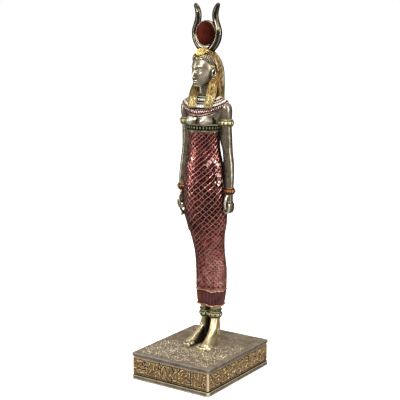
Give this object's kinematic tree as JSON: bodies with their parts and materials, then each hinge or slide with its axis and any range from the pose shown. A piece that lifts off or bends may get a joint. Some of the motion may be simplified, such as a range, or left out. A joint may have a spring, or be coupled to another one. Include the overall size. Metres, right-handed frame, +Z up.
{
  "type": "hathor statue",
  "caption": "Standing goddess with cow horns and a sun disc, in a net dress, cast in resin and painted, on a rectangular plinth with a carved band.",
  "frame": {"origin": "centre of the plinth's underside", "axes": "+Z up through the figure, -Y the way the figure faces, +X towards the figure's own left hand"},
  "size_m": [0.07, 0.085, 0.2801],
  "materials": {
    "figure": "cold-cast resin, painted by hand, satin",
    "plinth": "antiqued bronze paint, satin",
    "skin": "silver-bronze paint with dark recesses, satin",
    "hair": "gold paint, fading to bronze, satin",
    "net_dress": "deep red paint with copper lines, satin",
    "collar": "rows of red, cream and copper paint, satin",
    "gold_trim": "green-gold and copper paint, satin",
    "horns": "dark bronze paint with cream ridges, satin",
    "sun_disc": "dark red paint, satin"
  },
  "bodies": {
    "root": {"figure": "figure", "plinth": "plinth"}
  },
  "joints": []
}
